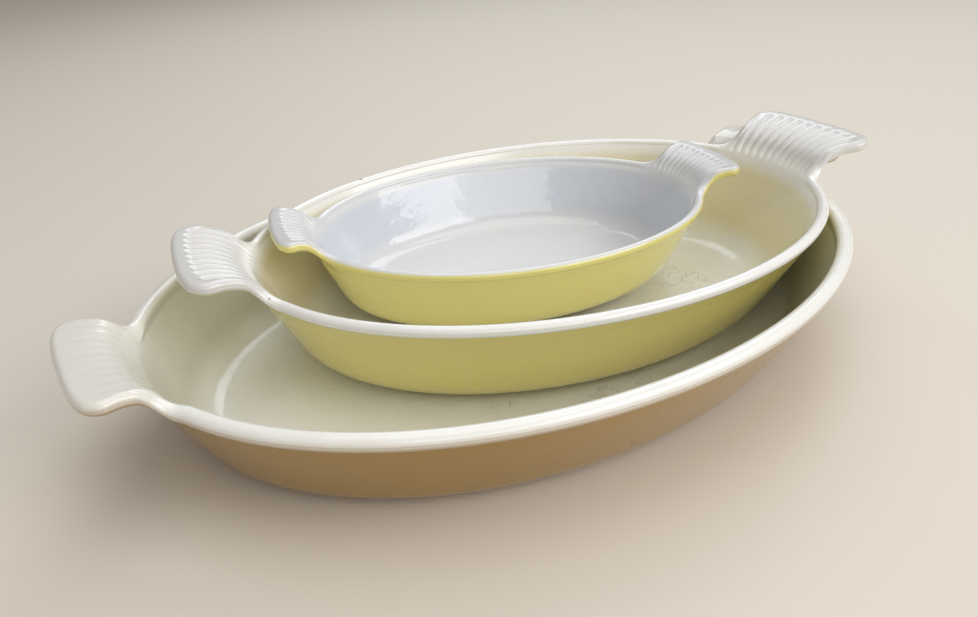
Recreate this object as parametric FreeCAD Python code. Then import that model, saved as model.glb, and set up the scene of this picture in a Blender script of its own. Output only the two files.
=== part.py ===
"""A nest of three oval gratin dishes in enamelled cast iron, each with two ribbed lug handles.

Each dish is one casting under two fused coats: a coloured coat outside and under the handles, and a white coat
inside, over the rim and on top of the handles. The casting's foot is bare, so it is what each dish stands on.

Frame: origin at the centre of the large dish's foot, on the surface that it stands on. +Z is up, and +X runs
along the large dish's length. All dimensions are in millimetres.
"""
import FreeCAD, Part
import math
import os

from FreeCAD import Vector

SHELL = 4.4                 # floor and wall, through the iron and both coats
COAT = 0.5                  # each coat
RIBBED_COAT = 1.6           # white coat on top of the handles, where it is drawn thick enough to hold the ribs
LIP = 1.5                   # how far the rim's bead stands out beyond the wall
LAND = 0.6                  # level top of the rim, between the bead's two rounded sides
FOOT_MARGIN = 2.0           # from the edge of the bare foot to where the corner starts to rise
RESTING_GAP = 0.02          # between a dish's foot and the floor that it stands on
CORNER_STEPS = 6            # cross-sections up the rounded bottom corner
BEAD_STEPS = 4              # cross-sections from the waist of the rim's bead to its top
LOWEST_STEP = -2            # the same steps, counted down from the waist, to where the wall meets the bead
GROOVES = 11                # grooves on each handle
GROOVE_WIDTH = 2.4
GROOVE_DEPTH = 1.0
BORDER = 9.0                # plain border between the ends of the grooves and the handle's tip
SIDE_BORDER = 5.0           # plain border between the outermost grooves and the handle's neck
BEND = 4.5                  # length over which a handle bends from upright to level
ROOT_DIP = 0.4              # how far below the rim's crest a handle's top starts
ROOT_DEPTH = 5.0            # how much lower in the wall its underside runs in
PLATE_SAMPLES = 14          # points on a handle's curved top
SWEEP = 60.0                # angle, in degrees, through which a handle's plate is turned before it is trimmed
OVERRUN = 4.0               # how far the untrimmed plate runs past the handle's tip
TALL = 200.0                # more than the height of the nest
SLIVER = 1.0                # volume below which a cut-off scrap of a coat is left out

# At the rim: half length, half width and height. Then the wall's spread from base to rim, the bottom corner's
# radius, the rim's thickness, and the step up the bead's outside from which it is white. For each handle: reach
# beyond the rim, rise above it, half width at the neck and near the tip, and thickness. Last: where the dish stands.
DISHES = {
    "large_dish": {
        "half_length": 180.0, "half_width": 131.0, "height": 50.0,
        "spread": 36.0, "corner": 20.0, "rim": 7.0, "white_from": 0,
        "reach": 24.0, "rise": 11.0, "neck": 35.0, "tip": 37.0, "plate": 6.0,
        "place": (0.0, 0.0, 0.0), "turn": 0.0,
    },
    "medium_dish": {
        "half_length": 148.0, "half_width": 110.0, "height": 53.0,
        "spread": 42.0, "corner": 26.0, "rim": 5.0, "white_from": -1,
        "reach": 29.0, "rise": 16.0, "neck": 32.0, "tip": 37.0, "plate": 5.5,
        "place": (28.0, 10.8, SHELL + RESTING_GAP), "turn": -10.5,
    },
    "small_dish": {
        "half_length": 105.0, "half_width": 77.7, "height": 41.0,
        "spread": 29.5, "corner": 18.0, "rim": 4.5, "white_from": 2,
        "reach": 18.0, "rise": 11.0, "neck": 25.0, "tip": 28.0, "plate": 5.0,
        "place": (25.5, 33.6, 12.9), "turn": -16.0,
    },
}


def wall_slope(dish):
    """Angle above level of a wall that leaves the bottom corner smoothly and ends under the rim's bead."""
    run = dish["spread"] - LIP
    rise = bead_bottom(dish)
    corner = dish["corner"]
    low = 0.1
    high = math.pi / 2 - 0.01
    for _ in range(60):
        angle = (low + high) / 2
        spread = corner * math.sin(angle) + (rise - corner * (1 - math.cos(angle))) / math.tan(angle)
        if spread > run:
            low = angle
        else:
            high = angle
    return angle


def bead_radius(dish):
    return (dish["rim"] - LAND) / 2


def bead_bottom(dish):
    return dish["height"] - 2 * bead_radius(dish)


def wall_sections(dish, depth):
    """(offset from the rim's widest line, height) up a surface that lies depth below the outer surface."""
    angle = wall_slope(dish)
    radius = dish["corner"] - depth
    sections = []
    for step in range(CORNER_STEPS + 1):
        turn = angle * step / CORNER_STEPS
        sections.append((-dish["spread"] + radius * math.sin(turn), dish["corner"] - radius * math.cos(turn)))
    sections.append((-LIP - depth / math.sin(angle), bead_bottom(dish)))
    return sections


def bead_sections(dish, inset, side, first, last):
    """(offset, height) up one side of the rim's bead: side is 1 outside and -1 inside, and step 0 is its waist."""
    radius = bead_radius(dish) - inset
    centre = -dish["rim"] / 2 + side * LAND / 2
    centre_height = dish["height"] - bead_radius(dish)
    sections = []
    for step in range(first, last + 1):
        turn = math.pi / 2 * step / BEAD_STEPS
        sections.append((centre + side * radius * math.cos(turn), centre_height + radius * math.sin(turn)))
    return sections


def oval_solid(dish, sections, ring=False):
    """Solid whose level cross-sections are ovals at the given offsets from the rim's widest line."""
    wires = []
    for offset, height in sections:
        oval = Part.Ellipse(Vector(0, 0, height), dish["half_length"] + offset, dish["half_width"] + offset)
        wires.append(Part.Wire(oval.toShape()))
    solid = Part.makeLoft(wires, True, True, ring)
    if solid.Volume < 0:
        solid.reverse()
    return solid


def iron_outside(dish, first):
    return wall_sections(dish, COAT) + bead_sections(dish, COAT, 1, first, BEAD_STEPS)


def iron_inside(dish):
    return wall_sections(dish, SHELL - COAT) + bead_sections(dish, COAT, -1, 0, BEAD_STEPS)


def bowl_casting(dish):
    foot = -dish["spread"] - FOOT_MARGIN
    outside = [(foot, 0), (foot, COAT)] + iron_outside(dish, LOWEST_STEP)
    return oval_solid(dish, outside + iron_inside(dish)[::-1])


def bowl_outer_coat(dish):
    """Ring from the bare foot up to the white edge of the rim."""
    foot = -dish["spread"] - FOOT_MARGIN
    edge = dish["white_from"]
    outside = [(foot, 0)] + wall_sections(dish, 0) + bead_sections(dish, 0, 1, LOWEST_STEP, edge)
    inside = [(foot, COAT)] + wall_sections(dish, COAT) + bead_sections(dish, COAT, 1, LOWEST_STEP, edge)
    return oval_solid(dish, outside + inside[::-1], True)


def bowl_inner_coat(dish):
    """Lining of the floor and wall, carried over the rim and down to its white edge."""
    edge = dish["white_from"]
    lining = wall_sections(dish, SHELL) + bead_sections(dish, 0, -1, 0, BEAD_STEPS)
    over_rim = bead_sections(dish, 0, 1, edge, BEAD_STEPS)[::-1]
    under = bead_sections(dish, COAT, 1, edge, BEAD_STEPS)
    return oval_solid(dish, lining + over_rim + under + iron_inside(dish)[::-1])


def curvature_radius(dish):
    """Radius of the rim's oval at the end of its length, which the handle's plate is swept round."""
    return dish["half_width"] ** 2 / dish["half_length"]


def plate_curve(dish, last, depth):
    """Points from the root of the handle's curved top out to an offset, sunk by depth square to the surface."""
    root = -dish["rim"] / 2
    climb = dish["rise"] + ROOT_DIP
    points = []
    for step in range(PLATE_SAMPLES + 1):
        share = (step / PLATE_SAMPLES) ** 2
        offset = root + (last - root) * share
        fade = math.exp(-(offset - root) / BEND)
        slope = climb * fade / BEND
        length = math.hypot(1, slope)
        x = dish["half_length"] + offset + depth * slope / length
        z = dish["height"] - ROOT_DIP + climb * (1 - fade) - depth / length
        points.append(Vector(x, 0, z))
    return points


def spline_edge(points):
    curve = Part.BSplineCurve()
    curve.interpolate(points)
    return curve.toShape()


def swept_band(dish, upper, lower, closing):
    """Turn the band between two curves in the XZ plane, closed through two corners inside the wall, about the
    rim's centre of curvature."""
    edges = [spline_edge(upper), Part.makeLine(upper[-1], lower[-1]), spline_edge(lower)]
    corners = [lower[0]] + closing + [upper[0]]
    for start, end in zip(corners, corners[1:]):
        edges.append(Part.makeLine(start, end))
    face = Part.Face(Part.Wire(Part.__sortEdges__(edges)))
    centre = Vector(dish["half_length"] - curvature_radius(dish), 0, 0)
    face.rotate(centre, Vector(0, 0, 1), -SWEEP / 2)
    return face.revolve(centre, Vector(0, 0, 1), SWEEP)


def root_corner(dish, depth):
    """Point inside the wall where the surface at a depth below a handle's top runs in."""
    drop = ROOT_DEPTH * depth / dish["plate"]
    return Vector(dish["half_length"] - dish["rim"] / 2, 0, dish["height"] - bead_radius(dish) - drop)


def handle_outline(dish, inset):
    """Prism with the handle's outline in plan: a narrow neck, a wider tip with round corners, and a curved end."""
    tip = dish["tip"] - inset
    neck = dish["neck"] - inset
    reach = dish["reach"] - inset
    half = [
        (-14.0, neck + 3), (-4.0, neck), (0.3 * reach, neck + 0.3 * (tip - neck)), (reach - 9, tip),
        (reach - 4, tip - 4), (reach - 1.5, tip - 12), (reach, 0.0),
    ]
    outline = half + [(offset, -side) for offset, side in reversed(half[:-1])]
    points = [Vector(dish["half_length"] + offset, side, 0) for offset, side in outline]
    edges = [spline_edge(points), Part.makeLine(points[-1], points[0])]
    return Part.Face(Part.Wire(edges)).extrude(Vector(0, 0, TALL))


def groove_tools(dish):
    """Radial slots that leave the ribs standing on top of a handle."""
    last = dish["reach"] - BORDER
    floor = [point for point in plate_curve(dish, last, GROOVE_DEPTH) if point.x > dish["half_length"] + 0.5]
    face = Part.Face(Part.makePolygon(
        floor + [Vector(floor[-1].x, 0, TALL), Vector(floor[0].x, 0, TALL), floor[0]]))
    slot = face.extrude(Vector(0, GROOVE_WIDTH, 0))
    slot.translate(Vector(0, -GROOVE_WIDTH / 2, 0))
    centre = Vector(dish["half_length"] - curvature_radius(dish), 0, 0)
    fan = 2 * math.degrees((dish["neck"] - SIDE_BORDER) / curvature_radius(dish))
    slots = []
    for index in range(GROOVES):
        turned = slot.copy()
        turned.rotate(centre, Vector(0, 0, 1), fan * (index / (GROOVES - 1) - 0.5))
        slots.append(turned)
    return slots


def handle_plate(dish, inset, upper_depth, lower_depth):
    """Layer of the +X handle between two depths below its top, trimmed to the outline less the inset."""
    last = dish["reach"] + OVERRUN
    upper = plate_curve(dish, last, upper_depth)
    lower = plate_curve(dish, last, lower_depth)
    plate = swept_band(dish, upper, lower, [root_corner(dish, lower_depth), root_corner(dish, upper_depth)])
    return plate.common(handle_outline(dish, inset))


def both_ends(shape):
    """A shape and its twin at the other end of the dish."""
    twin = shape.copy()
    twin.rotate(Vector(0, 0, 0), Vector(0, 0, 1), 180)
    return [shape, twin]


def coat_solids(shapes):
    """One compound of the solids in the given shapes, less the slivers that cutting leaves."""
    return Part.makeCompound([solid for shape in shapes for solid in shape.Solids if solid.Volume > SLIVER])


def build_dish(dish):
    """The casting and its outer and inner coats, standing on the XY plane."""
    bowl = bowl_casting(dish)
    whole = handle_plate(dish, 0, 0, dish["plate"])
    core = handle_plate(dish, COAT, RIBBED_COAT, dish["plate"] - COAT)
    upper = handle_plate(dish, 0, 0, dish["plate"] / 2)
    lower = handle_plate(dish, 0, dish["plate"] / 2, dish["plate"])
    top = upper.cut([core, bowl]).cut(groove_tools(dish))
    underside = lower.cut([core, bowl])
    handles = both_ends(whole)
    return {
        "casting": bowl.fuse(both_ends(core)),
        "outer_enamel": coat_solids([bowl_outer_coat(dish).cut(handles)] + both_ends(underside)),
        "inner_enamel": coat_solids([bowl_inner_coat(dish).cut(handles)] + both_ends(top)),
    }


def main():
    os.makedirs("parts", exist_ok=True)
    for name, dish in DISHES.items():
        for layer, shape in build_dish(dish).items():
            shape.rotate(Vector(0, 0, 0), Vector(0, 0, 1), dish["turn"])
            shape.translate(Vector(*dish["place"]))
            shape.exportStep("parts/" + name + "_" + layer + ".step")
            print(name, layer, "solids", len(shape.Solids), "valid", shape.isValid(), "volume", round(shape.Volume))


main()
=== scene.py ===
"""A nest of three oval gratin dishes in enamelled cast iron, seen on a pale floor in soft light.

Each dish is made of three closed pieces: the iron casting, whose bare foot shows underneath, the coloured
coat outside, and the white coat inside, over the rim and on top of the two ribbed handles. Dimensions are in
millimetres in each dish's own frame, with its foot on Z = 0 and its length along X, and become metres where a
mesh is made. Grids of points have columns, which go round the dish, and rows, which go from the middle of the
floor up the inside, over the rim or handle, and down the outside to the foot.
"""

import math

import bpy
import numpy as np
from mathutils import Matrix, Vector


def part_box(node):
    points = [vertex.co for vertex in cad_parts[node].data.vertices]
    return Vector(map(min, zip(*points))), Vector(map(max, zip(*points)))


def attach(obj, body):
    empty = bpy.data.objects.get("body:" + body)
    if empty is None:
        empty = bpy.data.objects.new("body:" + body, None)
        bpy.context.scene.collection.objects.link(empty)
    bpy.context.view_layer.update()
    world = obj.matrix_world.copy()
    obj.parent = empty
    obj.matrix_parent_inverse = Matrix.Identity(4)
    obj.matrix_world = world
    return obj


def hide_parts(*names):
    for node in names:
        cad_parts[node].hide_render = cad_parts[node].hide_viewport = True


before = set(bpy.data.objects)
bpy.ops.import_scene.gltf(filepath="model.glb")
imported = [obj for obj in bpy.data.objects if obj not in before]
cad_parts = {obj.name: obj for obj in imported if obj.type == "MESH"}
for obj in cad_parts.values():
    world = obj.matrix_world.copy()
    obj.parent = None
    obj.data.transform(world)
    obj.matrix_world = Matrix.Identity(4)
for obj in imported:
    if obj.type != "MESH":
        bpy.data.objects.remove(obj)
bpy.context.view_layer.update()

MM = 0.001
SHELL = 4.4                 # floor and wall thickness
COAT = 0.5                  # thickness of each coat
LIP = 1.5                   # how far the rim's bead stands out beyond the wall
FOOT_MARGIN = 2.0           # from the bare foot to where the corner starts to rise
WALL_JOIN = 4.0             # how far below the bead the wall is handed over to the rim's or handle's curve
SHOULDER = 10.0             # length over which a handle thickens from the wall's thickness to its own
ROOT_FILLET = 7.0           # how far beside its neck a handle starts to leave the rim
ROOT_BLEND = 15.0           # length of outline over which the rim's section turns into the handle's
NECK_ALONG = 12.0           # length of outline from a handle's root to its neck
NECK_INSET = 6.0            # how far inside the neck's half width the columns that end at the neck start
SIDE_SHORT = 4.0            # how much shorter than its reach a handle's side is, from neck to round corner
CORNER_ASIDE = 0.6          # where columns that end at that corner start, as a share of the neck's half width
LEAD_IN = 0.06              # angle on the oval, in radians, that gives the outline's curve its direction
LIP_TURN = 55.0             # degrees that the rim's bead turns under itself before it meets the wall
RIBS = 11
RIB_START = 2.5             # how far inside the rim's widest line the ribs begin
RIB_FADE = 2.5              # length over which they rise there
RIB_RECESS = 0.2            # how far the ribs' tops lie below the plain border, as a share of their depth
RIB_ROUNDNESS = 0.75        # under 1, the ribs are round and the hollows between them narrow
RIB_SIDE_FADE = 0.35        # share of a rib's width over which the recess fades out beyond the outermost ribs
BORDER_FADE = (-1.5, 2.0)   # where the ribs start and stop fading out, from the edge of the plain border
RIB_BORDER = 7.0            # plain border between the ends of the ribs and the handle's edge
SIDE_BORDER = 4.0           # plain border beside the outermost ribs, at the neck
UNDER_BUNCHING = 1.4        # over 1, the underside's rows are closer together near the handle's edge

# How many columns and rows the grids have.
SIDE_COLUMNS = 60
HANDLE_COLUMNS = 150
FLOOR_ROWS = 12
CORNER_ROWS = 10
WALL_ROWS = 8
BEAD_WALL_ROWS = 10
TOP_ROWS = 46
EDGE_ROWS = 8
UNDER_ROWS = 16
CURVE_STEPS = 40            # points along each stretch of a handle's outline before they are made even
HALVINGS = 60               # how often the search for the wall's angle halves its range
CORE_STRIDE = 3             # the hidden casting keeps one row and column in so many
CORE_DEPTH = 2.0            # how far it lies below the surface, so that its coarser grid stays covered
CORE_INSET = 5              # rows by which it stops short of the rounded edge
FOOT_RINGS = (1.0, 0.985, 0.95, 0.7, 0.35)  # rings of points on the bare foot, as shares of its size

# For each dish: half length, half width and height at the rim, the wall's spread from base to rim, the bottom
# corner's radius and the rim's thickness. Then its handles: reach beyond the rim, rise above it, length over
# which they bend to level, half width at the neck and near the tip, thickness, and depth of the ribs. Last:
# how far past the middle of the edge the white ends, how softly, and how many degrees the dish is turned by.
DISHES = {
    "large_dish": {
        "half_length": 180.0, "half_width": 131.0, "height": 50.0, "spread": 36.0, "corner": 20.0, "rim": 7.0,
        "reach": 24.0, "rise": 11.0, "bend": 6.0, "neck": 35.0, "tip": 37.0, "plate": 6.0,
        "rib_depth": 0.09, "white_edge": 0.6, "softness": 3.2, "turn": 0.0,
    },
    "medium_dish": {
        "half_length": 148.0, "half_width": 110.0, "height": 53.0, "spread": 42.0, "corner": 26.0, "rim": 5.0,
        "reach": 29.0, "rise": 16.0, "bend": 10.0, "neck": 32.0, "tip": 37.0, "plate": 5.5,
        "rib_depth": 1.5, "white_edge": 2.2, "softness": 0.7, "turn": -10.5,
    },
    "small_dish": {
        "half_length": 105.0, "half_width": 77.7, "height": 41.0, "spread": 29.5, "corner": 18.0, "rim": 4.5,
        "reach": 18.0, "rise": 11.0, "bend": 7.0, "neck": 25.0, "tip": 28.0, "plate": 5.0,
        "rib_depth": 1.3, "white_edge": -1.6, "softness": 0.6, "turn": -16.0,
    },
}

# The camera: angles in degrees, its distance from the middle of the large dish's foot and how far right and
# up it stands from there in metres, the lens in millimetres, and the frame's shift as a share of its width.
CAMERA_AZIMUTH = -26.9
CAMERA_ELEVATION = 28.6
CAMERA_ROLL = -5.6
CAMERA_DISTANCE = 0.3937
CAMERA_ASIDE = (-0.0536, 0.0108)
CAMERA_LENS = 28.3
CAMERA_SHIFT = (0.0898, 0.0052)

# The studio's lights: name, place, aim, size, power and colour.
LIGHTS = [
    ("window", (0.9, 0.9, 1.2), (0, 0, 0.03), (1.4, 0.9), 8, (0.84, 0.92, 1.0)),
    ("overhead", (0.1, -0.1, 1.8), (0, 0, 0), (1.6, 1.4), 9, (1.0, 0.98, 0.96)),
    ("fill", (0.8, -1.3, 1.1), (0, 0, 0.02), (1.4, 0.9), 14, (0.98, 0.98, 1.0)),
    ("front", (-0.3, -1.3, 0.7), (0, 0, 0.03), (1.2, 0.6), 4, (1.0, 0.98, 0.94)),
]
WORLD_COLOUR = (0.92, 0.89, 0.85, 1)
WORLD_STRENGTH = 0.36
FLOOR_REACH = 3.0
FLOOR_DROP = 0.0002         # keeps the floor just clear of the foot that stands on it
FLOOR_COLOUR = (0.77, 0.71, 0.62)

# Waves or cells per metre of the textures.
YELLOW_DRIFT = 9.0
CLOUDS = 16.0
STAINS = 34.0
SPECK_GROUPS = 42.0
SPECKS = 260.0
PATCH_EDGES = 60.0
CRACK_BREAKS = 190.0
CHIP_EDGES = 700.0
SCRATCHES = 90.0
RIPPLES = 140.0
IRON_GRAIN = 420.0
IRON_RUST = 55.0

SPECK_COLOUR = (0.2, 0.17, 0.12)
CRACK_COLOUR = (0.13, 0.12, 0.10)
CHIP_COLOUR = (0.035, 0.03, 0.028)
IRON_DARK = (0.028, 0.027, 0.028)
IRON_LIGHT = (0.075, 0.072, 0.07)
RUST_COLOUR = (0.11, 0.055, 0.03)

# For each dish: its colours, where the wall colour is painted reflection and shade on the inner wall and the
# handle colour is painted shade on the handle tops, how strongly it is stained, how rough it is, the patches
# of fine cracks on its floor, and its chips as (place, radius). Places and radii are in millimetres, in the
# dish's own frame.
LOOKS = {
    "large_dish": {
        "white": (0.93, 0.93, 0.90), "white_shade": (0.91, 0.91, 0.86),
        # Painted shade: the large dish's wall colour darkens its inner wall, and its handle colour darkens
        # its handle tops.
        "wall": (0.70, 0.69, 0.60), "handle": (0.80, 0.78, 0.72),
        "stain": 0.2, "stain_colour": (0.74, 0.68, 0.50),
        # Painted reflection: the large dish's yellow is darkened to brown, as if its outside reflected a
        # wooden table.
        "yellow": (0.36, 0.21, 0.03), "yellow_shade": (0.29, 0.16, 0.02), "roughness": 0.15,
        "crazed": [
            {"at": (-1, -73, SHELL), "radius": 7, "scale": 520.0, "strength": 0.6},
            {"at": (-42, -52, SHELL), "radius": 7, "scale": 420.0, "strength": 0.5},
            {"at": (-63, -25, SHELL), "radius": 4, "scale": 420.0, "strength": 0.5},
            {"at": (20, -68, SHELL), "radius": 9, "scale": 260.0, "strength": 0.35},
        ],
        "chips": [],
    },
    "medium_dish": {
        "white": (0.92, 0.91, 0.89), "white_shade": (0.90, 0.89, 0.86),
        # Painted reflection: the medium dish's wall colour tints its inner wall yellow-tan, as if it
        # reflected the small dish's yellow and warm room light. Its handle colour is painted shade on the
        # handle tops.
        "wall": (0.80, 0.73, 0.50), "handle": (0.72, 0.71, 0.69),
        "stain": 0.12, "stain_colour": (0.76, 0.69, 0.52),
        "yellow": (0.76, 0.68, 0.20), "yellow_shade": (0.72, 0.62, 0.17), "roughness": 0.13,
        "crazed": [{"at": (76, -18, SHELL), "radius": 14, "scale": 150.0, "strength": 0.4}],
        "chips": [((-63.9, 97.6, 52.8), 1.6), ((-142.0, -33.0, 53.5), 0.8), ((120, -1.6, SHELL), 0.7)],
    },
    "small_dish": {
        "white": (0.75, 0.755, 0.755), "white_shade": (0.73, 0.73, 0.72),
        # Painted reflection: the small dish's wall colour tints its inner wall blue, as if it reflected cool
        # window light. Its handle colour is painted shade on the handle tops.
        "wall": (0.64, 0.675, 0.74), "handle": (0.68, 0.68, 0.68),
        "stain": 0.1, "stain_colour": (0.80, 0.76, 0.66),
        "yellow": (0.80, 0.75, 0.25), "yellow_shade": (0.77, 0.70, 0.21), "roughness": 0.12,
        "crazed": [],
        "chips": [((9.2, 56.0, SHELL), 0.7)],
    },
}


# ---------------------------------------------------------------- sections of a dish

def smooth(low, high, value):
    """0 up to low and 1 from high on, with a smooth step between."""
    share = np.clip((value - low) / (high - low), 0.0, 1.0)
    return share * share * (3 - 2 * share)


def wall_angle(dish):
    """Angle above level of the wall between the bottom corner and the rim's bead."""
    run = dish["spread"] - LIP
    rise = dish["height"] - dish["rim"]
    corner = dish["corner"]
    low, high = 0.1, math.pi / 2 - 0.01
    for _ in range(HALVINGS):
        angle = (low + high) / 2
        spread = corner * math.sin(angle) + (rise - corner * (1 - math.cos(angle))) / math.tan(angle)
        if spread > run:
            low = angle
        else:
            high = angle
    return angle


def corner_section(dish, depth):
    """(offset from the rim's widest line, height) up the bottom corner, depth below the outer surface."""
    turns = np.linspace(0, wall_angle(dish), CORNER_ROWS)
    radius = dish["corner"] - depth
    return np.stack([-dish["spread"] + radius * np.sin(turns), dish["corner"] - radius * np.cos(turns)], -1)


def wall_offset(dish, depth, height):
    """Offset of the sloping wall at a height, depth below the outer surface."""
    angle = wall_angle(dish)
    bead_bottom = dish["height"] - dish["rim"]
    return -LIP - depth / math.sin(angle) + (height - bead_bottom) / math.tan(angle)


def join_point(dish, depth):
    """(offset, height) where the wall is handed over to the rim or handle."""
    height = dish["height"] - dish["rim"] - WALL_JOIN
    return np.array([wall_offset(dish, depth, height), height])


def wall_section(dish, depth):
    """From the end of the bottom corner up to the join, both left out."""
    start = corner_section(dish, depth)[-1]
    shares = np.linspace(0, 1, WALL_ROWS + 2)[1:-1, None]
    return start + (join_point(dish, depth) - start) * shares


def bead_section(dish):
    """From the join up the last of the wall and over the inner half of the rim's bead to its top."""
    radius = dish["rim"] / 2
    bead_bottom = dish["height"] - dish["rim"]
    wall_top = (wall_offset(dish, SHELL, bead_bottom), bead_bottom)
    corners = [join_point(dish, SHELL), wall_top, (-2 * radius, bead_bottom + radius)]
    lengths = np.concatenate([[0], np.cumsum([math.dist(a, b) for a, b in zip(corners, corners[1:])])])
    even = np.linspace(0, lengths[-1], BEAD_WALL_ROWS, endpoint=False)
    straight = np.stack([np.interp(even, lengths, [corner[k] for corner in corners]) for k in (0, 1)], -1)
    turns = np.linspace(0, math.pi / 2, TOP_ROWS - BEAD_WALL_ROWS)
    arc = np.stack([-radius - radius * np.cos(turns), bead_bottom + radius + radius * np.sin(turns)], -1)
    return np.vstack([straight, arc])


def handle_top(dish, offset):
    """Height and slope of the handle's top: the inner wall carried on up, then bent over to level."""
    steep = math.tan(wall_angle(dish))
    level = dish["height"] + dish["rise"]
    knee_height = level - dish["bend"] * steep
    knee = wall_offset(dish, SHELL, knee_height)
    fade = np.exp(-np.maximum(offset - knee, 0) / dish["bend"])
    bent = level - dish["bend"] * steep * fade
    height = np.where(offset < knee, knee_height + (offset - knee) * steep, bent)
    return height, steep * fade


def under_height(dish, offset, handle):
    """Height of the wall's outer surface where handle is 0, and of a handle's underside where it is 1."""
    start, start_height = join_point(dish, 0)
    wall = start_height + (offset - start) * math.tan(wall_angle(dish))
    top, slope = handle_top(dish, offset)
    thickness = SHELL + (dish["plate"] - SHELL) * smooth(start, start + SHOULDER, offset)
    return wall + (top - thickness * np.hypot(1, slope) - wall) * handle


# ---------------------------------------------------------------- plan of a dish

def oval(dish, angle, offset):
    """Points in plan on the rim's widest line, moved out by an offset."""
    along = (dish["half_length"] + offset) * np.cos(angle)
    across = (dish["half_width"] + offset) * np.sin(angle)
    return np.stack([along, across], -1)


def curve_through(points):
    """Dense points along a centripetal Catmull-Rom curve from the second given point to the last but one."""
    points = np.array(points, float)
    dense = []
    for p0, p1, p2, p3 in zip(points, points[1:], points[2:], points[3:]):
        k0, k1, k2, k3 = np.cumsum([0] + [math.dist(a, b) ** 0.5 for a, b in ((p0, p1), (p1, p2), (p2, p3))])
        t = np.linspace(k1, k2, CURVE_STEPS, endpoint=False)[:, None]
        a1 = p0 + (p1 - p0) * (t - k0) / (k1 - k0)
        a2 = p1 + (p2 - p1) * (t - k1) / (k2 - k1)
        a3 = p2 + (p3 - p2) * (t - k2) / (k3 - k2)
        b1 = a1 + (a2 - a1) * (t - k0) / (k2 - k0)
        b2 = a2 + (a3 - a2) * (t - k1) / (k3 - k1)
        dense.append(b1 + (b2 - b1) * (t - k1) / (k2 - k1))
    return np.vstack(dense + [points[-2:-1]])


def root_angle(dish):
    """Angle on the oval where a handle starts to leave the rim."""
    return math.asin((dish["neck"] + ROOT_FILLET) / dish["half_width"])


def handle_outline(dish):
    """Even points round the +X handle, from the rim on its -Y side to its +Y side, and their spacing."""
    neck, tip, reach = dish["neck"], dish["tip"], dish["reach"]
    half = [
        (-4.5, neck + 1.5), (0.0, neck + 0.2), (0.25 * reach, neck + 0.3 * (tip - neck)),
        (0.6 * reach, tip), (0.83 * reach, tip - 3.5), (0.94 * reach, tip - 11),
    ]
    sides = [(dish["half_length"] + x, y) for x, y in half]
    root = root_angle(dish)
    start = [tuple(oval(dish, root + more, 0)) for more in (LEAD_IN, 0.0)]
    upper = start + sides
    points = [(x, -y) for x, y in upper] + [(dish["half_length"] + reach, 0.0)] + upper[::-1]
    dense = curve_through(points)
    length = np.concatenate([[0], np.cumsum(np.linalg.norm(np.diff(dense, axis=0), axis=1))])
    even = np.linspace(0, length[-1], HANDLE_COLUMNS + 1)
    outline = np.stack([np.interp(even, length, dense[:, k]) for k in (0, 1)], -1)
    return outline, even[1]


def half_ring(dish):
    """Columns round half the dish: angle on the oval, outline point, outward normal and share of handle."""
    root = root_angle(dish)
    outline, spacing = handle_outline(dish)
    along = np.gradient(outline, axis=0)
    handle_normal = np.stack([along[:, 1], -along[:, 0]], -1)
    steps = np.arange(HANDLE_COLUMNS + 1)
    from_root = np.minimum(steps, HANDLE_COLUMNS - steps) * spacing
    neck = dish["neck"]
    lengths = (0, NECK_ALONG, NECK_ALONG + dish["reach"] - SIDE_SHORT, HANDLE_COLUMNS / 2 * spacing)
    aside = np.interp(from_root, lengths, (neck + ROOT_FILLET, neck - NECK_INSET, CORNER_ASIDE * neck, 0))
    handle_angle = np.sign(steps - HANDLE_COLUMNS / 2) * np.arcsin(aside / dish["half_width"])
    side_angle = np.linspace(root, math.pi - root, SIDE_COLUMNS + 1)[1:]
    side_normal = np.stack(
        [dish["half_width"] * np.cos(side_angle), dish["half_length"] * np.sin(side_angle)], -1)
    angle = np.concatenate([handle_angle, side_angle])[:-1]
    edge = np.vstack([outline, oval(dish, side_angle, 0)])[:-1]
    normal = np.vstack([handle_normal, side_normal])[:-1]
    normal /= np.linalg.norm(normal, axis=1)[:, None]
    handle = np.concatenate([smooth(0, ROOT_BLEND, from_root), np.zeros(SIDE_COLUMNS)])[:-1]
    return angle, edge, normal, handle


def whole_ring(rows):
    """The rows of half a dish, carried on round its other half."""
    rows = np.array(rows)
    return np.concatenate([rows, rows * (-1, -1, 1)], axis=1)


def level_rows(dish, angle, section):
    """One row at each (offset, height) of a section, as an oval."""
    rows = []
    for offset, height in section:
        plan = oval(dish, angle, offset)
        rows.append(np.column_stack([plan, np.full(len(plan), height)]))
    return rows


def rim_distance(dish, plan, first, first_offset):
    """Distance beyond the rim's widest line, from its centre of curvature, made true at the first row."""
    curvature = dish["half_width"] ** 2 / dish["half_length"]
    centre = dish["half_length"] - curvature
    beyond = np.hypot(np.abs(plan[..., 0]) - centre, plan[..., 1])
    return beyond - np.hypot(np.abs(first[..., 0]) - centre, first[..., 1]) + first_offset


def rib_valleys(dish, plan, offset, to_edge):
    """Depth of the hollows between the ribs, which fan out from the centre of the rim's curvature."""
    curvature = dish["half_width"] ** 2 / dish["half_length"]
    fan = np.arctan2(plan[..., 1], plan[..., 0] - dish["half_length"] + curvature)
    half_fan = (dish["neck"] - SIDE_BORDER) / curvature
    phase = (fan / half_fan + 1) / 2 * RIBS
    valley = 1 - np.abs(np.sin(math.pi * phase)) ** RIB_ROUNDNESS
    inside = smooth(-RIB_SIDE_FADE, 0.0, phase) * smooth(RIBS + RIB_SIDE_FADE, RIBS, phase)
    root_end = smooth(-RIB_START - RIB_FADE, -RIB_START, offset)
    tip_end = smooth(RIB_BORDER + BORDER_FADE[0], RIB_BORDER + BORDER_FADE[1], to_edge)
    return dish["rib_depth"] * (valley + RIB_RECESS) * inside * root_end * tip_end


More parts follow.
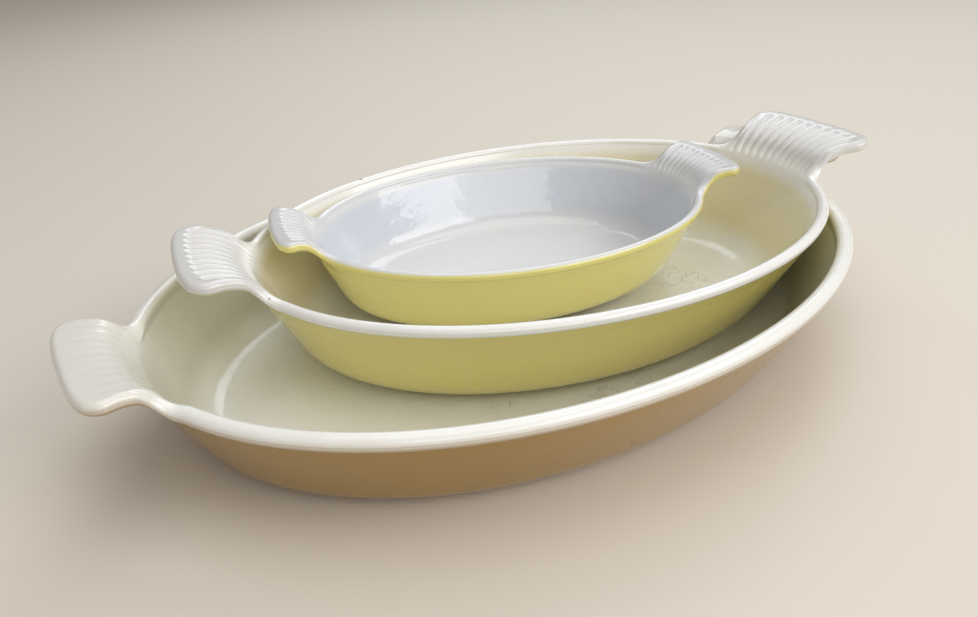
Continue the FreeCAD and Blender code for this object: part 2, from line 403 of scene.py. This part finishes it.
def top_rows(dish, angle, edge, normal, handle):
    """From the join over the top of the rim or handle, to where its edge starts to round over."""
    radius = (dish["rim"] + (dish["plate"] - dish["rim"]) * handle) / 2
    join = oval(dish, angle, join_point(dish, SHELL)[0])
    end = edge - normal * radius[:, None]
    section = bead_section(dish)
    start_offset = join_point(dish, SHELL)[0]
    rows = []
    for index, (offset, height) in enumerate(section):
        bead_share = (offset - start_offset) / (-dish["rim"] / 2 - start_offset)
        share = bead_share + (index / (TOP_ROWS - 1) - bead_share) * handle
        plan = join + (end - join) * share[:, None]
        beyond = rim_distance(dish, plan, join, start_offset)
        top, slope = handle_top(dish, beyond)
        to_edge = np.linalg.norm(edge - plan, axis=1)
        sunk = rib_valleys(dish, plan, beyond, to_edge) * handle
        tilt = np.hypot(1, slope)
        outward = (end - join) / np.linalg.norm(end - join, axis=1)[:, None]
        plan = plan + outward * (sunk * slope / tilt)[:, None]
        rows.append(np.column_stack([plan, height + (top - height) * handle - sunk / tilt]))
    return rows, end, radius


def edge_rows(end, top, normal, radius, turns):
    """Rows round the rounded edge; turns is an angle past straight up, for each row and column."""
    rows = []
    for turn in turns:
        plan = end + normal * (radius * np.sin(turn))[:, None]
        rows.append(np.column_stack([plan, top - radius + radius * np.cos(turn)]))
    return rows


def under_rows(dish, angle, last, handle):
    """From the edge's underside in to the join on the outer wall."""
    start, _ = join_point(dish, 0)
    wall = oval(dish, angle, start)
    plan_first = last[:, :2]
    miss = last[:, 2] - under_height(dish, rim_distance(dish, plan_first, wall, start), handle)
    rows = []
    for index in range(1, UNDER_ROWS + 1):
        left = (1 - index / UNDER_ROWS) ** UNDER_BUNCHING
        plan = wall + (plan_first - wall) * left
        height = under_height(dish, rim_distance(dish, plan, wall, start), handle) + miss * left
        rows.append(np.column_stack([plan, height]))
    return rows


def dish_grids(dish):
    """Grids of the inner and the outer surface, which share the row along the middle of the edge."""
    angle, edge, normal, handle = half_ring(dish)
    floor_edge = -dish["spread"]
    floor = [np.column_stack([oval(dish, angle, floor_edge) * share, np.full(len(angle), SHELL)])
             for share in np.linspace(1 / FLOOR_ROWS, 1, FLOOR_ROWS, endpoint=False)]
    rising = np.vstack([corner_section(dish, SHELL), wall_section(dish, SHELL)])
    top, end, radius = top_rows(dish, angle, edge, normal, handle)
    crest = top[-1][:, 2]
    over = np.linspace(0, math.pi / 2, EDGE_ROWS + 1)[1:, None] * np.ones(len(angle))
    last_turn = np.radians(90 + LIP_TURN + (90 - LIP_TURN) * handle)
    below = np.linspace(0, 1, EDGE_ROWS)[:, None] * (last_turn - math.pi / 2) + math.pi / 2
    inner = floor + level_rows(dish, angle, rising) + top + edge_rows(end, crest, normal, radius, over)
    outer = edge_rows(end, crest, normal, radius, below)
    outer += under_rows(dish, angle, outer[-1], handle)
    foot = [(floor_edge - FOOT_MARGIN, 0)]
    falling = np.vstack([wall_section(dish, 0)[::-1], corner_section(dish, 0)[::-1], foot])
    outer += level_rows(dish, angle, falling)
    return whole_ring(inner), whole_ring(outer)


# ---------------------------------------------------------------- meshes

def surface_normals(grid):
    """Unit normals out of the material, for columns that go anticlockwise and rows from inside to outside."""
    along = np.roll(grid, -1, axis=1) - np.roll(grid, 1, axis=1)
    across = np.gradient(grid, axis=0)
    normal = np.cross(across, along)
    return normal / np.maximum(np.linalg.norm(normal, axis=2), 1e-9)[..., None]


def sheet_faces(rows, columns, first, flip):
    """Quads of a closed ring of columns."""
    faces = []
    for row in range(rows - 1):
        for column in range(columns):
            after = (column + 1) % columns
            base = first + row * columns
            quad = (base + column, base + columns + column, base + columns + after, base + after)
            faces.append(quad[::-1] if flip else quad)
    return faces


def fan_faces(columns, first, centre, flip):
    """Triangles from a ring of columns to a centre point."""
    faces = []
    for column in range(columns):
        triangle = (centre, first + column, first + (column + 1) % columns)
        faces.append(triangle[::-1] if flip else triangle)
    return faces


def edge_distance(inner, outer):
    """Length of each point's row before (-) or past (+) the middle of the edge."""
    steps = np.linalg.norm(np.diff(np.concatenate([inner, outer[1:]]), axis=0), axis=2)
    length = np.concatenate([np.zeros((1, inner.shape[1])), np.cumsum(steps, axis=0)])
    length -= length[len(inner) - 1]
    return length[:len(inner)], length[len(inner) - 1:]


def add_mesh(name, points, faces, glaze):
    """Mesh in the dish's own frame; its points also keep their place there, for the materials."""
    mesh = bpy.data.meshes.new(name)
    mesh.from_pydata([tuple(point) for point in points * MM], [], faces)
    mesh.attributes.new("glaze", "FLOAT", "POINT").data.foreach_set("value", np.asarray(glaze, np.float32))
    local = mesh.attributes.new("place", "FLOAT_VECTOR", "POINT")
    local.data.foreach_set("vector", np.asarray(points * MM, np.float32).ravel())
    mesh.polygons.foreach_set("use_smooth", [True] * len(mesh.polygons))
    mesh.validate()
    mesh.update()
    piece = bpy.data.objects.new(name, mesh)
    bpy.context.scene.collection.objects.link(piece)
    return piece


def coat_piece(name, grid, glaze, filled):
    """Closed coat: the grid, a backing COAT below it, and either bands at both edges or a filled middle."""
    rows, columns = grid.shape[:2]
    backing = grid - surface_normals(grid) * COAT
    count = rows * columns
    points = np.vstack([grid.reshape(-1, 3), backing.reshape(-1, 3)])
    values = np.concatenate([glaze.ravel(), glaze.ravel()])
    faces = sheet_faces(rows, columns, 0, False) + sheet_faces(rows, columns, count, True)
    last = (rows - 1) * columns
    for column in range(columns):
        after = (column + 1) % columns
        faces.append((last + column, last + count + column, last + count + after, last + after))
        if not filled:
            faces.append((column, after, count + after, count + column))
    if filled:
        middles = [grid[0].mean(axis=0), backing[0].mean(axis=0)]
        points = np.vstack([points, middles])
        values = np.append(values, [0, 0])
        faces += fan_faces(columns, 0, 2 * count, False) + fan_faces(columns, count, 2 * count + 1, True)
    return add_mesh(name, points, faces, values)


def casting_piece(name, dish):
    """Closed iron body under the two coats, whose bare foot fills the outer coat's opening."""
    inner, outer = dish_grids({**dish, "rib_depth": 0.0})
    shrunk_inner = (inner - surface_normals(inner) * CORE_DEPTH)[:-EDGE_ROWS - CORE_INSET:CORE_STRIDE]
    shrunk_outer = (outer - surface_normals(outer) * CORE_DEPTH)[EDGE_ROWS + 1::CORE_STRIDE]
    rings = [outer[-1:] * (share, share, 1) for share in FOOT_RINGS]
    grid = np.concatenate([shrunk_inner, shrunk_outer] + rings)[:, ::CORE_STRIDE]
    rows, columns = grid.shape[:2]
    points = np.vstack([grid.reshape(-1, 3), [grid[0].mean(axis=0), grid[-1].mean(axis=0)]])
    faces = sheet_faces(rows, columns, 0, False) + fan_faces(columns, 0, rows * columns, False)
    faces += fan_faces(columns, (rows - 1) * columns, rows * columns + 1, True)
    return add_mesh(name, points, faces, np.zeros(len(points)))


# ---------------------------------------------------------------- materials

class Nodes:
    """Short calls for building a material's nodes."""

    def __init__(self, name):
        self.material = bpy.data.materials.new(name)
        self.material.use_nodes = True
        self.tree = self.material.node_tree
        self.shader = self.tree.nodes["Principled BSDF"]
        self.place = self.attribute("place").outputs["Vector"]

    def add(self, kind, **settings):
        node = self.tree.nodes.new(kind)
        for key, value in settings.items():
            setattr(node, key, value)
        return node

    def attribute(self, name):
        return self.add("ShaderNodeAttribute", attribute_name=name)

    def plug(self, socket, value):
        if isinstance(value, bpy.types.NodeSocket):
            self.tree.links.new(value, socket)
        elif isinstance(value, tuple) and len(value) == 3 and socket.type == "RGBA":
            socket.default_value = (*value, 1)
        else:
            socket.default_value = value

    def math(self, operation, first, *others):
        """The operation on the first two values, then on that result and the next value, and so on."""
        for other in others:
            node = self.add("ShaderNodeMath", operation=operation)
            self.plug(node.inputs[0], first)
            self.plug(node.inputs[1], other)
            first = node.outputs[0]
        return first

    def height(self):
        """Height above the dish's own foot, in metres."""
        node = self.add("ShaderNodeSeparateXYZ")
        self.plug(node.inputs[0], self.place)
        return node.outputs["Z"]

    def mix(self, share, first, second):
        node = self.add("ShaderNodeMix", data_type="RGBA")
        self.plug(node.inputs["Factor"], share)
        self.plug(node.inputs["A"], first)
        self.plug(node.inputs["B"], second)
        return node.outputs["Result"]

    def noise(self, scale, detail=3.0, stretch=(1, 1, 1)):
        mapping = self.add("ShaderNodeMapping")
        self.plug(mapping.inputs["Vector"], self.place)
        mapping.inputs["Scale"].default_value = stretch
        node = self.add("ShaderNodeTexNoise")
        self.plug(node.inputs["Vector"], mapping.outputs[0])
        node.inputs["Scale"].default_value = scale
        node.inputs["Detail"].default_value = detail
        return node.outputs["Fac"]

    def cells(self, scale, feature):
        """Distance from the nearest cell's centre or edge, as the feature says."""
        node = self.add("ShaderNodeTexVoronoi", feature=feature)
        self.plug(node.inputs["Vector"], self.place)
        node.inputs["Scale"].default_value = scale
        return node.outputs["Distance"]

    def between(self, value, low, high):
        """0 below low and 1 above high, or the other way round when low is the larger."""
        node = self.add("ShaderNodeMapRange", interpolation_type="SMOOTHSTEP")
        self.plug(node.inputs["Value"], value)
        node.inputs["From Min"].default_value = min(low, high)
        node.inputs["From Max"].default_value = max(low, high)
        node.inputs["To Min"].default_value = 0 if low < high else 1
        node.inputs["To Max"].default_value = 1 if low < high else 0
        return node.outputs["Result"]

    def near(self, point, radius, ragged):
        """1 within a ragged distance of a point in millimetres."""
        gap = self.add("ShaderNodeVectorMath", operation="DISTANCE")
        self.plug(gap.inputs[0], self.place)
        gap.inputs[1].default_value = [value * MM for value in point]
        wavy = self.math("ADD", gap.outputs["Value"], self.math("MULTIPLY", ragged, radius * MM))
        return self.between(wavy, 1.6 * radius * MM, 1.4 * radius * MM)

    def bump(self, height, distance, normal=None):
        node = self.add("ShaderNodeBump")
        node.inputs["Distance"].default_value = distance
        self.plug(node.inputs["Height"], height)
        if normal is not None:
            self.plug(node.inputs["Normal"], normal)
        return node.outputs["Normal"]


def white_glass(nodes, look, cloud, top):
    """Cloudy white, with painted reflection and shade as a tint on the inner wall, painted shade on the
    handle tops, and brown stains. The rim is at height top.
    """
    height = nodes.height()
    above_floor = nodes.between(height, 0.15 * top, 0.4 * top)
    below_rim = nodes.between(height, 0.93 * top, 0.8 * top)
    painted_handle_shade = nodes.between(height, 1.01 * top, 1.1 * top)
    stains = nodes.between(nodes.noise(STAINS, 5.0), 0.5, 0.75)
    white = nodes.mix(cloud, look["white"], look["white_shade"])
    # Painted shade: the handle tops, above the rim, are darkened to the handle colour.
    white = nodes.mix(painted_handle_shade, white, look["handle"])
    # Painted reflection and shade: the inner wall between floor and rim is tinted with the wall colour.
    white = nodes.mix(nodes.math("MULTIPLY", above_floor, below_rim, 0.85), white, look["wall"])
    return nodes.mix(nodes.math("MULTIPLY", stains, look["stain"]), white, look["stain_colour"])


def fine_specks(nodes):
    """Share of dark specks, which come in groups."""
    specks = nodes.between(nodes.cells(SPECKS, "F1"), 0.1, 0.055)
    groups = nodes.between(nodes.noise(SPECK_GROUPS, 2.0), 0.62, 0.66)
    return nodes.math("MULTIPLY", specks, groups, 0.45)


def fine_cracks(nodes, patches, floor_only):
    """Share of crazing: broken lines between cells, in a few patches on the floor."""
    marks = [0.0]
    for patch in patches:
        lines = nodes.between(nodes.cells(patch["scale"], "DISTANCE_TO_EDGE"), 0.035, 0.01)
        broken = nodes.between(nodes.noise(CRACK_BREAKS, 2.0), 0.47, 0.53)
        here = nodes.near(patch["at"], patch["radius"], nodes.noise(PATCH_EDGES))
        marks.append(nodes.math("MULTIPLY", lines, broken, here, floor_only, patch["strength"]))
    return nodes.math("MAXIMUM", *marks)


def enamel(name):
    """Glossy fused glass, white where the glaze attribute is 0 and yellow where it is 1, with wear, and with
    painted reflection and shade in the white.
    """
    look = LOOKS[name]
    nodes = Nodes(name + "_enamel")
    glaze = nodes.attribute("glaze").outputs["Fac"]
    cloud = nodes.noise(CLOUDS)
    floor_only = nodes.between(nodes.height(), (SHELL + 1.2) * MM, (SHELL + 0.3) * MM)
    cracks = fine_cracks(nodes, look["crazed"], floor_only)
    chip_edge = nodes.noise(CHIP_EDGES, 2.0)
    chip_shares = [nodes.near(point, radius, chip_edge) for point, radius in look["chips"]]
    chips = nodes.math("MAXIMUM", 0.0, *chip_shares)
    damage = nodes.math("MAXIMUM", cracks, chips)
    scratched = nodes.between(nodes.noise(SCRATCHES, 2.0, (1, 14, 1)), 0.66, 0.72)
    scratches = nodes.math("MULTIPLY", scratched, floor_only)

    white = white_glass(nodes, look, cloud, DISHES[name]["height"] * MM)
    yellow = nodes.mix(nodes.noise(YELLOW_DRIFT), look["yellow"], look["yellow_shade"])
    colour = nodes.mix(glaze, white, yellow)
    colour = nodes.mix(fine_specks(nodes), colour, SPECK_COLOUR)
    colour = nodes.mix(cracks, colour, CRACK_COLOUR)
    colour = nodes.mix(chips, colour, CHIP_COLOUR)
    nodes.plug(nodes.shader.inputs["Base Color"], colour)

    scratch_roughness = nodes.math("MULTIPLY", scratches, 0.10)
    cloud_roughness = nodes.math("MULTIPLY", cloud, 0.12)
    damage_roughness = nodes.math("MULTIPLY", damage, 0.5)
    rough = nodes.math("ADD", scratch_roughness, cloud_roughness, damage_roughness, look["roughness"])
    nodes.plug(nodes.shader.inputs["Roughness"], rough)
    nodes.shader.inputs["Coat Weight"].default_value = 0.6
    nodes.shader.inputs["Coat Roughness"].default_value = 0.05
    nodes.shader.inputs["Subsurface Weight"].default_value = 0.06
    nodes.shader.inputs["Subsurface Radius"].default_value = (0.002, 0.0018, 0.0014)

    ripple = nodes.bump(nodes.noise(RIPPLES, 2.0), 0.00022)
    scored = nodes.bump(nodes.math("MULTIPLY", scratches, -1.0), 0.00003, ripple)
    pitted = nodes.bump(nodes.math("SUBTRACT", 1.0, damage), 0.0004, scored)
    nodes.plug(nodes.shader.inputs["Normal"], pitted)
    nodes.plug(nodes.shader.inputs["Coat Normal"], ripple)
    return nodes.material


def bare_iron():
    """Ground cast iron of the foot, dark, with a fine grain and rust in its pores."""
    nodes = Nodes("bare_iron")
    grain = nodes.noise(IRON_GRAIN, 6.0)
    rust = nodes.between(nodes.noise(IRON_RUST, 5.0), 0.52, 0.7)
    iron = nodes.mix(grain, IRON_DARK, IRON_LIGHT)
    nodes.plug(nodes.shader.inputs["Base Color"], nodes.mix(rust, iron, RUST_COLOUR))
    nodes.plug(nodes.shader.inputs["Roughness"], nodes.between(grain, -0.6, 1.3))
    nodes.plug(nodes.shader.inputs["Metallic"], nodes.between(rust, 1.4, -0.5))
    nodes.plug(nodes.shader.inputs["Normal"], nodes.bump(grain, 0.0004))
    return nodes.material


# ---------------------------------------------------------------- the nest

def place_of(name):
    """Where a dish stands, from the box of its casting."""
    low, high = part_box(name + "_casting")
    middle = (low + high) / 2
    turn = Matrix.Rotation(math.radians(DISHES[name]["turn"]), 4, "Z")
    return Matrix.Translation((middle.x, middle.y, low.z)) @ turn


def add_dish(name, iron):
    """The dish's three pieces, each in the place of the CAD node of its layer."""
    dish = DISHES[name]
    inner, outer = dish_grids(dish)
    before, past = edge_distance(inner, outer)
    whitest, yellowest = dish["white_edge"] - dish["softness"], dish["white_edge"] + dish["softness"]
    glass = enamel(name)
    white_coat = coat_piece(name + "_white_coat", inner, smooth(whitest, yellowest, before), True)
    yellow_coat = coat_piece(name + "_yellow_coat", outer, smooth(whitest, yellowest, past), False)
    core = casting_piece(name + "_iron", dish)
    layers = [
        (white_coat, glass, "inner_enamel", "white_enamel"),
        (yellow_coat, glass, "outer_enamel", "yellow_enamel"),
        (core, iron, "casting", "cast_iron"),
    ]
    for piece, material, layer, slot in layers:
        piece.data.materials.append(material)
        piece.data.transform(place_of(name))
        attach(piece, name)
        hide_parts(name + "_" + layer)


# ---------------------------------------------------------------- studio

def add_floor():
    corners = [(x * FLOOR_REACH, y * FLOOR_REACH, 0) for x, y in ((-1, -1), (1, -1), (1, 1), (-1, 1))]
    mesh = bpy.data.meshes.new("floor")
    mesh.from_pydata(corners, [], [(0, 1, 2, 3)])
    floor = bpy.data.objects.new("floor", mesh)
    bpy.context.scene.collection.objects.link(floor)
    floor.location.z = -FLOOR_DROP
    nodes = Nodes("floor")
    nodes.plug(nodes.shader.inputs["Base Color"], FLOOR_COLOUR)
    nodes.shader.inputs["Roughness"].default_value = 0.5
    mesh.materials.append(nodes.material)


def add_light(name, place, aim, size, power, colour):
    light = bpy.data.lights.new(name, "AREA")
    light.shape = "RECTANGLE"
    light.size, light.size_y = size
    light.energy = power
    light.color = colour
    lamp = bpy.data.objects.new(name, light)
    lamp.location = place
    lamp.rotation_euler = (Vector(aim) - Vector(place)).to_track_quat("-Z", "Y").to_euler()
    bpy.context.scene.collection.objects.link(lamp)


def add_world():
    world = bpy.data.worlds.new("studio")
    world.use_nodes = True
    world.node_tree.nodes["Background"].inputs["Color"].default_value = WORLD_COLOUR
    world.node_tree.nodes["Background"].inputs["Strength"].default_value = WORLD_STRENGTH
    bpy.context.scene.world = world


def add_camera():
    yaw, pitch, roll = (math.radians(angle) for angle in (CAMERA_AZIMUTH, CAMERA_ELEVATION, CAMERA_ROLL))
    forward = Vector((-math.sin(yaw) * math.cos(pitch), math.cos(yaw) * math.cos(pitch), -math.sin(pitch)))
    level = Vector((math.cos(yaw), math.sin(yaw), 0))
    upward = level.cross(forward)
    right = math.cos(roll) * level + math.sin(roll) * upward
    up = math.cos(roll) * upward - math.sin(roll) * level
    aim = place_of("large_dish").translation
    camera = bpy.data.objects.new("camera", bpy.data.cameras.new("camera"))
    camera.data.lens = CAMERA_LENS
    camera.data.shift_x, camera.data.shift_y = CAMERA_SHIFT
    camera.data.clip_start = 0.01
    turn = Matrix((right, up, -forward)).transposed().to_4x4()
    place = aim - forward * CAMERA_DISTANCE + right * CAMERA_ASIDE[0] + up * CAMERA_ASIDE[1]
    camera.matrix_world = Matrix.Translation(place) @ turn
    bpy.context.scene.collection.objects.link(camera)
    bpy.context.scene.camera = camera


add_camera()
bare = bare_iron()
for dish_name in DISHES:
    add_dish(dish_name, bare)
add_floor()
for settings in LIGHTS:
    add_light(*settings)
add_world()
bpy.context.scene.view_settings.view_transform = "Standard"
bpy.context.view_layer.update()
